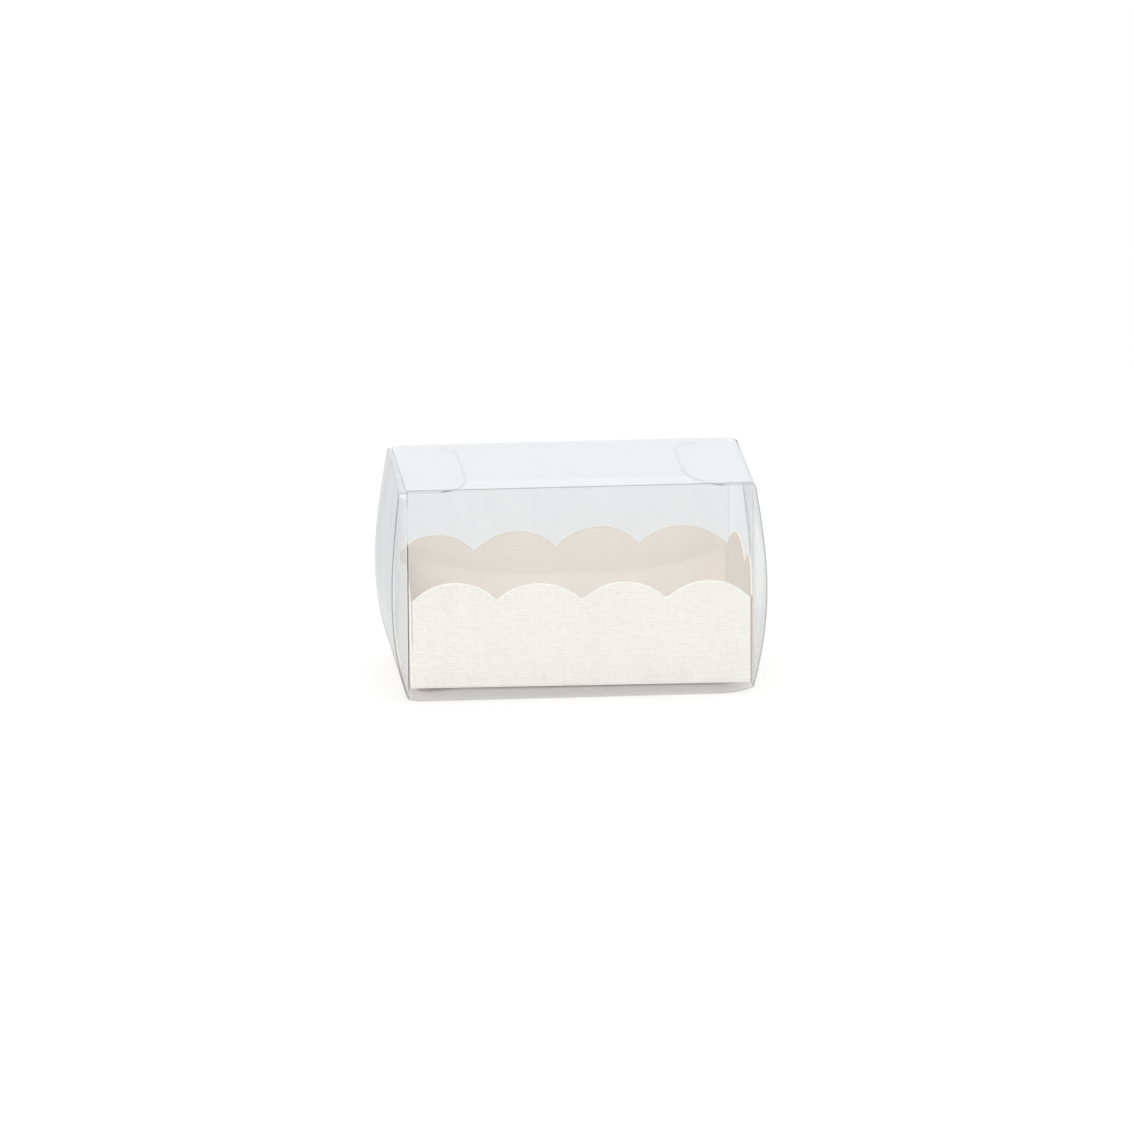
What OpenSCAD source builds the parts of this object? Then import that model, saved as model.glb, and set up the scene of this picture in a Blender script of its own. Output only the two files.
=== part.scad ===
// Clear film favor box with tuck-in ends, holding a card tray with scalloped walls.
// X runs along the box, Y from front to back, Z up. The origin is the middle of the base.

/* [Film box] */
// Length of the tube, along X
box_l = 80; // [60:1:120]
// Depth of the tube, from front to back
box_d = 48; // [40:1:80]
// Height of the tube
box_h = 50; // [42:1:80]
// Thickness of the clear film
film_t = 0.3; // [0.2:0.05:0.4]
// Outside radius of the long creases
crease_r = 0.6; // [0.5:0.05:0.9]
// Rise of the bottom panel, which bows up under the tray
bottom_bow = 2.7; // [1:0.1:4]
// Flat border left along the long sides of the bowed bottom
bow_side_margin = 2.5; // [2:0.5:6]
// Flat border left at the ends of the bowed bottom
bow_end_margin = 1.5; // [1:0.5:6]
// Length over which the bow fades out towards each end
bow_fade = 14; // [6:1:20]

/* [Glue seam] */
// Length of the glue tab inside the back panel
tab_l = 9; // [6:1:14]
// Distance from each end of the tube to the tab
tab_end_inset = 2; // [1:0.5:5]
// Height of the line of glue
glue_w = 4; // [2:0.5:5]
// Thickness of the glue
glue_t = 0.05; // [0.03:0.01:0.1]

/* [End closures] */
// Outward bulge of the end panels at mid height
closure_bulge = 3.1; // [1:0.1:5]
// Distance the top crease of the left end stands outside the top panel
left_standoff = 1.6; // [0.6:0.1:2.5]
// Distance the top crease of the right end stands outside the top panel
right_standoff = 0.8; // [0.6:0.1:2.5]
// Distance the tongues reach in under the top panel
tongue_reach = 14.5; // [8:0.5:18]
// Corner radius of the left tongue
left_tongue_r = 6; // [2:0.5:7]
// Corner radius of the right tongue
right_tongue_r = 8; // [2:0.5:8]
// Gap between the tongues and the top panel
tongue_gap = 0.3; // [0.25:0.05:0.6]
// Gap between the end panels and the front and back panels
closure_side_gap = 0.35; // [0.2:0.05:1]
// Further inset of each side of the tongues
tongue_inset = 0.5; // [0.4:0.1:3]

/* [Dust flaps] */
// Length of the dust flaps
flap_l = 20; // [10:0.5:20]
// Height at which a dust flap starts, at its crease
flap_foot = 3; // [3:0.5:8]
// Distance from the top of the box to a dust flap, at its crease
flap_head = 3.5; // [3.5:0.5:8]
// Slope of the lower edge, in degrees
flap_lower_slope = 32; // [32:1:40]
// Slope of the upper edge, in degrees
flap_upper_slope = 8; // [8:1:15]
// Angle at which the flaps lean out, in degrees
flap_lean = 3; // [0:0.5:4]
// Corner radius at the tip of the flaps
flap_tip_r = 3; // [1:0.5:4]

/* [Card tray] */
// Thickness of the card
card_t = 0.35; // [0.25:0.05:0.5]
// Gap between the tray and the front and back panels
tray_side_gap = 0.3; // [0.2:0.05:0.8]
// Gap between the tray and the ends of the tube
tray_end_gap = 0.7; // [0.6:0.05:2]
// Height of the walls at their valleys, from the underside of the tray
wall_h = 20.3; // [14:0.5:26]
// Number of scallops on the front and back walls
long_scallops = 4; // [2:1:8]
// Number of scallops on the end walls
end_scallops = 2; // [1:1:5]
// Rise of the scallops on the front and back walls
long_rise = 4.2; // [2:0.1:5]
// Rise of the scallops on the end walls
end_rise = 5; // [2:0.1:5]
// Gap left at the free corners of the walls
corner_gap = 0.1; // [0.05:0.05:0.4]

/* [Hidden] */

film = [0.86, 0.89, 0.92, 0.4];
card = [0.945, 0.93, 0.89];
glue = [0.9, 0.9, 0.86, 0.6];

// Clearances at the creases, and the play between the tray and what it rests on
crease_gap = 0.06;
seat_gap = 0.05;
// Overrun of the shapes that trim others
overrun = 1;
// Facets of whole circles, and points on a rounded corner
circle_fn = 96;
fillet_steps = 8;
// Steps across the bowed bottom, and along each of its fading ends
bow_steps_y = 12;
bow_steps_x = 6;

// Middle lines of the film at the hinged creases
hinge_x = box_l / 2 - film_t / 2;
hinge_y = box_d / 2 - film_t / 2;
hinge_z = film_t / 2;
// Distance from a crease's axis to the film that turns about it
crease_start = film_t / 2 + crease_gap;

// Tube
flat_y = box_d / 2 - crease_r;
tab_y = box_d / 2 - film_t - glue_t;
tube_bottom_z = crease_r;
tube_top_z = box_h - crease_r;

// Bowed bottom
bow_half_l = hinge_x - bow_end_margin;
bow_half_d = flat_y - bow_side_margin;

// End closures
closure_w = box_d - 2 * (film_t + closure_side_gap);
tongue_w = closure_w - 2 * tongue_inset;
tongue_z = box_h - film_t - tongue_gap - film_t / 2;

// Tray
tray_z = bottom_bow + film_t + seat_gap;
tray_top_z = tray_z + card_t;
tray_in_x = box_l / 2 - tray_end_gap - card_t;
tray_in_y = box_d / 2 - film_t - tray_side_gap - card_t;
wall_rise = wall_h - card_t;

// Length of the vector from the origin to p
function length(p) = sqrt(p[0] * p[0] + p[1] * p[1]);

// Points of the arc that rounds the corner b, between a and c, with radius r
function corner_arc(a, b, c, r) =
    let (u = (a - b) / length(a - b), v = (c - b) / length(c - b),
         half = acos(u * v) / 2,
         bisector = (u + v) / length(u + v),
         middle = b + bisector * r / sin(half),
         from = b + u * r / tan(half) - middle,
         to = b + v * r / tan(half) - middle,
         start = atan2(from[1], from[0]),
         turn = atan2(from[0] * to[1] - from[1] * to[0], from * to))
    [for (i = [0:fillet_steps])
        middle + r * [cos(start + turn * i / fillet_steps), sin(start + turn * i / fillet_steps)]];

// Height of the bowed bottom above its border
function fade_share(x) =
    let (past = (abs(x) - (bow_half_l - bow_fade)) / bow_fade)
    past <= 0 ? 1 : (1 + cos(180 * min(past, 1))) / 2;
function bow_height(x, y) = bottom_bow * fade_share(x) * (1 + cos(180 * y / bow_half_d)) / 2;

// A plate in the YZ plane: the outline's first value is Y and its second is Z
module side_plate(x, thickness) {
    translate([x, 0, 0]) rotate([90, 0, 90]) linear_extrude(height = thickness) children();
}

// A quarter of a folded crease, whose inside faces +X and +Y of its own plane
module crease_quarter() {
    intersection() {
        difference() {
            circle(r = crease_r, $fn = circle_fn);
            circle(r = crease_r - film_t, $fn = circle_fn);
        }
        translate([-crease_r, -crease_r]) square(crease_r);
    }
}

// Bead that finishes the film at a hinged crease, upright at the ends of the side panels
module upright_beads(y) {
    for (side = [-1, 1])
        translate([side * hinge_x, y, tube_bottom_z])
            cylinder(r = film_t / 2, h = tube_top_z - tube_bottom_z, $fn = circle_fn);
}

module front_panel() {
    color(film) {
        side_plate(-hinge_x, 2 * hinge_x) {
            translate([-box_d / 2, tube_bottom_z]) square([film_t, tube_top_z - tube_bottom_z]);
            translate([-flat_y, tube_bottom_z]) crease_quarter();
            translate([-flat_y, tube_top_z]) mirror([0, 1]) crease_quarter();
        }
        upright_beads(-hinge_y);
    }
}

module back_panel() {
    color(film) {
        side_plate(-hinge_x, 2 * hinge_x) {
            translate([box_d / 2 - film_t, tube_bottom_z])
                square([film_t, tube_top_z - tube_bottom_z]);
            translate([flat_y, tube_bottom_z]) mirror([1, 0]) crease_quarter();
        }
        upright_beads(hinge_y);
    }
}

module top_panel() {
    color(film)
        translate([-box_l / 2, -flat_y, box_h - film_t])
            cube([box_l, flat_y + tab_y - crease_r, film_t]);
}

// Bowed middle of the bottom, as one closed skin of two grids and four edges
module bottom_bow_skin() {
    xs = concat(
        [for (i = [0:bow_steps_x]) -bow_half_l + bow_fade * i / bow_steps_x],
        [for (i = [0:bow_steps_x]) bow_half_l - bow_fade + bow_fade * i / bow_steps_x]);
    ys = [for (j = [0:bow_steps_y]) bow_half_d * (2 * j / bow_steps_y - 1)];
    nx = len(xs);
    ny = len(ys);
    skin = nx * ny;
    points = concat(
        [for (x = xs) for (y = ys) [x, y, bow_height(x, y)]],
        [for (x = xs) for (y = ys) [x, y, bow_height(x, y) + film_t]]);
    under = [for (i = [0:nx - 2]) for (j = [0:ny - 2]) let (a = i * ny + j)
        each [[a, a + ny, a + ny + 1], [a, a + ny + 1, a + 1]]];
    upper = [for (f = under) [f[2] + skin, f[1] + skin, f[0] + skin]];
    near_end = [for (j = [0:ny - 2])
        each [[j, j + 1, j + 1 + skin], [j, j + 1 + skin, j + skin]]];
    far_end = [for (j = [0:ny - 2]) let (a = (nx - 1) * ny + j)
        each [[a + 1, a, a + skin], [a + 1, a + skin, a + 1 + skin]]];
    near_side = [for (i = [0:nx - 2]) let (a = i * ny, b = a + ny)
        each [[b, a, a + skin], [b, a + skin, b + skin]]];
    far_side = [for (i = [0:nx - 2]) let (a = i * ny + ny - 1, b = a + ny)
        each [[a, b, b + skin], [a, b + skin, a + skin]]];
    polyhedron(points, concat(under, upper, near_end, far_end, near_side, far_side));
}

module bottom_panel() {
    color(film) {
        for (side = [-1, 1]) {
            translate([-hinge_x, side > 0 ? bow_half_d : -flat_y, 0])
                cube([2 * hinge_x, bow_side_margin, film_t]);
            translate([side > 0 ? bow_half_l : -hinge_x, -bow_half_d, 0])
                cube([bow_end_margin, 2 * bow_half_d, film_t]);
            translate([side * hinge_x, closure_w / 2, hinge_z]) rotate([90, 0, 0])
                cylinder(r = film_t / 2, h = closure_w, $fn = circle_fn);
        }
        bottom_bow_skin();
    }
}

module seam_tab() {
    tab_ends = box_l / 2 - tab_end_inset;
    color(film)
        side_plate(-tab_ends, 2 * tab_ends) {
            translate([tab_y - crease_r, tube_top_z]) rotate(180) crease_quarter();
            translate([tab_y - film_t, box_h - tab_l]) square([film_t, tab_l - crease_r]);
        }
}

module seam_glue() {
    glue_end = box_l / 2 - 2 * tab_end_inset;
    glue_bottom = box_h - (tab_l + glue_w) / 2;
    color(glue)
        translate([-glue_end, tab_y, glue_bottom]) cube([2 * glue_end, glue_t, glue_w]);
}

// End panel at +X: an arc of film from the bottom crease up to the top of the tongue
module end_panel(standoff) {
    top_x = hinge_x + standoff;
    chord = [top_x - hinge_x, tongue_z - hinge_z];
    chord_l = length(chord);
    lean = atan2(chord[0], chord[1]);
    arc_r = (chord_l * chord_l / 4 + closure_bulge * closure_bulge) / (2 * closure_bulge);
    half = asin(chord_l / 2 / arc_r);
    skipped = asin(crease_start / arc_r);
    rim = asin(film_t / 2 / arc_r);
    centre_x = (hinge_x + top_x) / 2 - (arc_r - closure_bulge) * cos(lean);
    centre_z = (hinge_z + tongue_z) / 2 + (arc_r - closure_bulge) * sin(lean);
    color(film)
        translate([centre_x, 0, centre_z]) rotate([90, 0, 0]) rotate(skipped - half - lean)
            rotate_extrude(angle = 2 * half - skipped + rim, $fn = circle_fn)
                translate([arc_r - film_t / 2, -closure_w / 2]) square([film_t, closure_w]);
}

// Tongue at +X, which tucks in under the top panel
module tongue(standoff, corner_r) {
    start = hinge_x + standoff - crease_start;
    tip = box_l / 2 - tongue_reach;
    side = tongue_w / 2;
    outline = concat(
        [[start, -side], [start, side]],
        corner_arc([start, side], [tip, side], [tip, -side], corner_r),
        corner_arc([tip, side], [tip, -side], [start, -side], corner_r));
    color(film)
        translate([0, 0, tongue_z - film_t / 2]) linear_extrude(height = film_t) polygon(outline);
}

// Dust flap at +X on the front panel: its lower edge climbs clear of the opening end panel
module dust_flap() {
    foot = flap_foot;
    head = box_h - flap_head;
    tip_foot = foot + flap_l * tan(flap_lower_slope);
    tip_head = head - flap_l * tan(flap_upper_slope);
    outline = concat(
        [[crease_start, head], [crease_start, foot]],
        corner_arc([crease_start, foot], [flap_l, tip_foot], [flap_l, tip_head], flap_tip_r),
        corner_arc([flap_l, tip_foot], [flap_l, tip_head], [crease_start, head], flap_tip_r));
    color(film)
        translate([hinge_x, -hinge_y, 0]) rotate(90 - flap_lean)
            translate([0, film_t / 2, 0]) rotate([90, 0, 0])
                linear_extrude(height = film_t) polygon(outline);
}

// Wall outline, centred on X, with its foot at zero and a row of round scallops on top
module scalloped(width, count, rise) {
    pitch = width / count;
    arc_r = (pitch * pitch / 4 + rise * rise) / (2 * rise);
    foot = crease_gap;
    translate([-width / 2, foot]) square([width, wall_rise - foot]);
    for (i = [0:count - 1])
        translate([(i + 1 / 2) * pitch - width / 2, wall_rise])
            intersection() {
                translate([0, rise - arc_r]) circle(r = arc_r, $fn = circle_fn);
                translate([-pitch / 2, -foot]) square([pitch, rise + overrun]);
            }
}

// Quarter of solid card that fills a folded edge of the tray, below and outside its corner
module card_quarter() {
    intersection() {
        circle(r = card_t, $fn = circle_fn);
        translate([-card_t, -card_t]) square(card_t);
    }
}

module tray_base() {
    color(card)
        side_plate(-tray_in_x, 2 * tray_in_x) {
            translate([-tray_in_y, tray_z]) square([2 * tray_in_y, card_t]);
            for (side = [0, 1])
                mirror([side, 0]) translate([-tray_in_y, tray_top_z]) card_quarter();
        }
}

// Long wall of the tray at the front
module long_wall() {
    color(card)
        translate([0, -tray_in_y, tray_top_z]) rotate([90, 0, 0])
            linear_extrude(height = card_t)
                scalloped(2 * (tray_in_x - corner_gap), long_scallops, long_rise);
}

// End wall of the tray at -X, with the folded edge it shares with the base
module end_wall() {
    width = 2 * (tray_in_y - corner_gap);
    color(card) {
        side_plate(-tray_in_x - card_t, card_t)
            translate([0, tray_top_z]) scalloped(width, end_scallops, end_rise);
        translate([-tray_in_x, width / 2, tray_top_z]) rotate([90, 0, 0])
            linear_extrude(height = width) {
                card_quarter();
                translate([-card_t, 0]) square([card_t, 2 * crease_gap]);
            }
    }
}

module left_end_panel() { mirror([1, 0, 0]) end_panel(left_standoff); }
module right_end_panel() { end_panel(right_standoff); }
module left_tongue() { mirror([1, 0, 0]) tongue(left_standoff, left_tongue_r); }
module right_tongue() { tongue(right_standoff, right_tongue_r); }
module right_front_dust_flap() { dust_flap(); }
module right_back_dust_flap() { mirror([0, 1, 0]) dust_flap(); }
module left_front_dust_flap() { mirror([1, 0, 0]) dust_flap(); }
module left_back_dust_flap() { mirror([1, 0, 0]) mirror([0, 1, 0]) dust_flap(); }
module tray_front_wall() { long_wall(); }
module tray_back_wall() { mirror([0, 1, 0]) long_wall(); }
module tray_left_wall() { end_wall(); }
module tray_right_wall() { mirror([1, 0, 0]) end_wall(); }

front_panel();
bottom_panel();
back_panel();
top_panel();
seam_tab();
seam_glue();
left_end_panel();
right_end_panel();
left_tongue();
right_tongue();
left_front_dust_flap();
left_back_dust_flap();
right_front_dust_flap();
right_back_dust_flap();
tray_base();
tray_front_wall();
tray_back_wall();
tray_left_wall();
tray_right_wall();
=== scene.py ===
"""Looks of a clear film favor box that holds a card tray with scalloped walls.

X runs along the box, Y from its front to its back and Z up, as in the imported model. Shapes are
worked out in millimetres and stored in metres.
"""

import logging
import math
from dataclasses import dataclass
from enum import Enum
from typing import Callable, Iterable

import bmesh
import bpy
from mathutils import Matrix, Vector


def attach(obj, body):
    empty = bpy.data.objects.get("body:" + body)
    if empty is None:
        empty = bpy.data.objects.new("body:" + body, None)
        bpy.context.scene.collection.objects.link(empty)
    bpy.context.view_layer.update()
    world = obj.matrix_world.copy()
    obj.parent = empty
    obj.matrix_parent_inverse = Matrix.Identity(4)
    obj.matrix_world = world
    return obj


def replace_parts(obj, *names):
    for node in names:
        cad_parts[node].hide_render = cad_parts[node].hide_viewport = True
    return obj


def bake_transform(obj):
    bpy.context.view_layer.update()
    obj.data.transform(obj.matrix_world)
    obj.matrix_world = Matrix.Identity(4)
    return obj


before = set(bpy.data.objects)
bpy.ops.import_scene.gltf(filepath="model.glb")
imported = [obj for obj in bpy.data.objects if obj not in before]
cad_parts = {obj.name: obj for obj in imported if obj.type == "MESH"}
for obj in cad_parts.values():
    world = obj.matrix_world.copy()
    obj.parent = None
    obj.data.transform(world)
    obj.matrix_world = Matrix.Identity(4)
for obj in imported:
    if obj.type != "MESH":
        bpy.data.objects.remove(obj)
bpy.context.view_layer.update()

MM = 0.001
RGB = tuple[float, float, float]
Span = tuple[float, float]
Socket = bpy.types.NodeSocket
Value = float | tuple | Socket
log = logging.getLogger("favor_box")


class Slot(str, Enum):
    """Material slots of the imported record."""

    FILM = "clear_film"
    CARD = "ivory_card"


class End(Enum):
    """An end of the box, with the sign of X there."""

    LEFT = -1
    RIGHT = 1


class Flank(Enum):
    """A long side of the box, with the sign of Y there."""

    FRONT = -1
    BACK = 1


def smooth_step(value: float) -> float:
    """Return value held to 0..1 and eased at both ends."""
    t = min(max(value, 0.0), 1.0)
    return t * t * (3 - 2 * t)


def ramp(value: float, start: float, end: float) -> float:
    """Return 0 at start and 1 at end, eased between them and held past them."""
    return smooth_step((value - start) / (end - start))


def mix(a: float, b: float, t: float) -> float:
    """Return the value at share t of the way from a to b."""
    return a + (b - a) * t


def hump(t: float) -> float:
    """Return a value that falls from 1 to 0 as t goes from 0 to 1, level at both ends."""
    return (1 + math.cos(math.pi * t)) / 2


def add_object(name: str, data: bpy.types.ID) -> bpy.types.Object:
    """Add an object to the scene.

    Args:
        name: Its name.
        data: Its mesh, lamp or camera data.

    Returns:
        The object.
    """
    added = bpy.data.objects.new(name, data)
    bpy.context.scene.collection.objects.link(added)
    return added


# ---- Shader graphs ----


class Graph:
    """A node tree with short calls for adding and linking nodes."""

    def __init__(self, tree: bpy.types.NodeTree) -> None:
        """Keep the node tree of a material, a world or a group."""
        self.tree = tree

    def feed(self, node: bpy.types.Node, inputs: dict) -> None:
        """Set or link inputs of a node.

        Args:
            node: The node.
            inputs: A value or an output socket for each input, by its name or number.
        """
        for name, value in inputs.items():
            if isinstance(value, Socket):
                self.tree.links.new(value, node.inputs[name])
            else:
                node.inputs[name].default_value = value

    def add(self, kind: str, inputs: dict | None = None, **settings: object) -> bpy.types.Node:
        """Add a node.

        Args:
            kind: The node's type name.
            inputs: Its inputs, as feed takes them.
            **settings: The node's own properties.

        Returns:
            The new node.
        """
        node = self.tree.nodes.new(kind)
        for name, value in settings.items():
            setattr(node, name, value)
        self.feed(node, inputs or {})
        return node

    def math(self, operation: str, a: Value, b: Value = 0.0, c: Value = 0.0,
             clamp: bool = False) -> Socket:
        """Return the output of a Math node. Clamp holds it to 0..1."""
        node = self.add("ShaderNodeMath", {0: a, 1: b, 2: c}, operation=operation, use_clamp=clamp)
        return node.outputs[0]

    def blend(self, share: Value, a: Value, b: Value) -> Socket:
        """Return the output of a node that mixes colour a with a share of colour b."""
        return self.add("ShaderNodeMix", {0: share, 6: a, 7: b}, data_type="RGBA").outputs[2]

    def noise(self, place: Socket, scale: Value, detail: float, roughness: float,
              distortion: float = 0.0) -> Socket:
        """Return the output of a noise texture, read at a place."""
        look = {"Scale": scale, "Detail": detail, "Roughness": roughness, "Distortion": distortion}
        return self.add("ShaderNodeTexNoise", {"Vector": place, **look}).outputs[0]

    def drawn(self, place: Socket, factors: tuple) -> Socket:
        """Return a place multiplied by a factor per axis: below 1 draws a texture out."""
        return self.add("ShaderNodeVectorMath", {0: place, 1: factors},
                        operation="MULTIPLY").outputs[0]

    def mask(self, title: str) -> Socket:
        """Return the socket of a mask that is written on the mesh."""
        return self.add("ShaderNodeAttribute", attribute_name=title).outputs["Fac"]

    def bump(self, height: Socket, strength: float, distance: float) -> Socket:
        """Return the normal for a height, of which 1 stands for distance in metres."""
        return self.add("ShaderNodeBump", {
            "Height": height, "Strength": strength, "Distance": distance}).outputs[0]


def new_group(name: str, inputs: dict[str, float],
              outputs: Iterable[str]) -> tuple[Graph, bpy.types.Node, bpy.types.Node]:
    """Start a shader node group.

    Args:
        name: The group's name.
        inputs: Its plain inputs with their default values. "Vector" comes before them.
        outputs: The names of its outputs, all plain values.

    Returns:
        The group's graph, its input node and its output node.
    """
    tree = bpy.data.node_groups.new(name, "ShaderNodeTree")
    tree.interface.new_socket("Vector", in_out="INPUT", socket_type="NodeSocketVector")
    for title, value in inputs.items():
        socket = tree.interface.new_socket(title, in_out="INPUT", socket_type="NodeSocketFloat")
        socket.default_value = value
    for title in outputs:
        tree.interface.new_socket(title, in_out="OUTPUT", socket_type="NodeSocketFloat")
    graph = Graph(tree)
    return graph, graph.add("NodeGroupInput"), graph.add("NodeGroupOutput")


def make_linen() -> bpy.types.NodeTree:
    """Build the group for threads pressed into card.

    Its level and its upright threads each drift sideways and fade out in places.

    Returns:
        The group, with outputs Height and Thread.
    """
    graph, given, out = new_group(
        "linen_emboss", {"Pitch": 0.5, "Breaks": 0.5}, ("Height", "Thread"))
    place, pitch, breaks = (given.outputs[title] for title in ("Vector", "Pitch", "Breaks"))
    along, drift_reach, upright_share = 0.3, 1.2, 0.7
    faded, full = 0.42, 0.62
    flat = graph.add("ShaderNodeSeparateXYZ", {0: place})
    least = graph.math("SUBTRACT", 1.0, breaks)
    rows = []
    for across, factors in ((1, (along, 1.0, 1.0)), (0, (1.0, along, 1.0))):
        drawn = graph.drawn(place, factors)
        drift = graph.noise(drawn, 1.3, 2.0, 0.55)
        moved = graph.math("MULTIPLY_ADD", drift, drift_reach, flat.outputs[across])
        turns = graph.math("DIVIDE", moved, pitch)
        wave = graph.math("SINE", graph.math("MULTIPLY", turns, 2 * math.pi))
        kept = graph.add("ShaderNodeMapRange", {
            "Value": graph.noise(drawn, 2.1, 3.0, 0.6), "From Min": faded, "From Max": full,
            "To Min": least})
        rows.append(graph.math("MULTIPLY", wave, kept.outputs[0]))
    weave = graph.math("ADD", rows[0], graph.math("MULTIPLY", rows[1], upright_share))
    thread = graph.math("MULTIPLY_ADD", weave, 0.3, 0.5, clamp=True)
    graph.feed(out, {"Height": weave, "Thread": thread})
    return graph.tree


def make_fibre() -> bpy.types.NodeTree:
    """Build the group for the fibres and faint clouding of card.

    Returns:
        The group, with outputs Grain and Cloud.
    """
    graph, given, out = new_group("card_fibre", {"Grain Scale": 2.2}, ("Grain", "Cloud"))
    place = given.outputs["Vector"]
    graph.feed(out, {"Grain": graph.noise(place, given.outputs["Grain Scale"], 4.0, 0.7),
                     "Cloud": graph.noise(place, 0.07, 2.0, 0.5)})
    return graph.tree


def make_uneven() -> bpy.types.NodeTree:
    """Build the group for the long, low waves and fine haze of film.

    Returns:
        The group, with outputs Height and Haze.
    """
    graph, given, out = new_group("film_unevenness", {"Wave Scale": 45.0}, ("Height", "Haze"))
    place = given.outputs["Vector"]
    streaked = graph.drawn(place, (1.0, 1.0, 0.25))
    graph.feed(out, {"Height": graph.noise(place, given.outputs["Wave Scale"], 1.0, 0.4, 0.3),
                     "Haze": graph.noise(streaked, 160.0, 3.0, 0.6)})
    return graph.tree


GROUPS = {"linen": make_linen(), "fibre": make_fibre(), "uneven": make_uneven()}


def place_group(graph: Graph, name: str, inputs: dict) -> dict:
    """Return the outputs of a shared group, placed in a material's graph."""
    return graph.add("ShaderNodeGroup", inputs, node_tree=GROUPS[name]).outputs


# ---- Finishes ----


@dataclass(frozen=True)
class Finish:
    """A material: its name, and the shader's inputs that each kind of finish works out."""

    name: str

    def inputs(self, graph: Graph) -> dict:
        """Work out the inputs of the material's shader.

        Args:
            graph: The material's graph, where the nodes for them are added.

        Returns:
            The inputs, as Graph.feed takes them.
        """
        raise NotImplementedError

    def material(self) -> bpy.types.Material:
        """Build the material.

        Returns:
            The material.
        """
        material = bpy.data.materials.new(self.name)
        material.use_nodes = True
        graph = Graph(material.node_tree)
        shader = next(n for n in graph.tree.nodes if n.type == "BSDF_PRINCIPLED")
        graph.feed(shader, self.inputs(graph))
        return material


@dataclass(frozen=True)
class FilmFinish(Finish):
    """Clear film: mostly see-through, and more of a mirror where it is seen at a slant.

    The mask "crease" marks its creases, "fold" its painted shade, and "rim" its dull edges
    and the painted shade along the right end panel's back edge.
    """

    colour: RGB = (0.38, 0.385, 0.40)
    crease_colour: RGB = (0.38, 0.38, 0.39)
    painted_shade_colour: RGB = (0.10, 0.065, 0.045)
    mirror: RGB = (0.90, 0.94, 0.965)
    far_mirror: RGB = (0.50, 0.50, 0.51)
    far_power: float = 16.0
    haze: float = 0.12
    even_haze: float = 0.8
    uneven_haze: float = 0.4
    crease_gain: float = 0.05
    painted_shade_gain: float = 1.0
    rim_gain: float = 0.0
    gloss: float = 0.03
    slant_gain: float = 1.25
    slant_power: float = 5.0
    dulled: float = 0.0
    dull_power: float = 24.0
    lit_through: float = 0.75
    roughness: float = 0.10
    wave_strength: float = 0.2
    wave_height: float = 0.002

    def inputs(self, graph: Graph) -> dict:
        """Work out the inputs of the shader.

        Args:
            graph: The material's graph.

        Returns:
            The inputs, as Graph.feed takes them.
        """
        place = graph.add("ShaderNodeTexCoord").outputs["Object"]
        uneven = place_group(graph, "uneven", {"Vector": place})
        crease, painted_shade, rim = (graph.mask(title) for title in ("crease", "fold", "rim"))
        facing = graph.add("ShaderNodeLayerWeight", {"Blend": 0.5}).outputs["Facing"]
        slant, far, dull = (graph.math("POWER", facing, power) for power in (
            self.slant_power, self.far_power, self.dull_power))
        gloss = graph.math("MULTIPLY_ADD", slant, self.slant_gain, self.gloss)
        gloss = graph.math("MULTIPLY", gloss, graph.math("SUBTRACT", 1.0, rim))
        hazed = graph.math("MULTIPLY_ADD", uneven["Haze"], self.haze * self.uneven_haze,
                           self.haze * self.even_haze)
        for mask, gain in ((crease, self.crease_gain), (painted_shade, self.painted_shade_gain),
                           (rim, self.rim_gain)):
            hazed = graph.math("MULTIPLY_ADD", mask, gain, hazed)
        whole = graph.math("ADD", gloss, hazed, clamp=True)
        path = graph.add("ShaderNodeLightPath").outputs
        light = graph.math("MAXIMUM", path["Is Shadow Ray"], path["Is Diffuse Ray"])
        kept = graph.math("MULTIPLY_ADD", light, -self.lit_through, 1.0)
        share = graph.math("MULTIPLY", graph.math("DIVIDE", gloss, whole, clamp=True),
                           graph.math("MULTIPLY_ADD", dull, -self.dulled, 1.0))
        body = graph.blend(graph.math("MAXIMUM", crease, rim), (*self.colour, 1),
                           (*self.crease_colour, 1))
        # Painted shade: the "fold" mask tints the film dark brown where the tray's shade is
        # painted.
        body = graph.blend(painted_shade, body, (*self.painted_shade_colour, 1))
        mirror = graph.blend(far, (*self.mirror, 1), (*self.far_mirror, 1))
        return {
            "Base Color": graph.blend(share, body, mirror),
            "Metallic": share,
            "Alpha": graph.math("MULTIPLY", whole, kept),
            "Normal": graph.bump(uneven["Height"], self.wave_strength, self.wave_height),
            "Roughness": self.roughness,
            "Specular IOR Level": 0.0}


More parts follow.
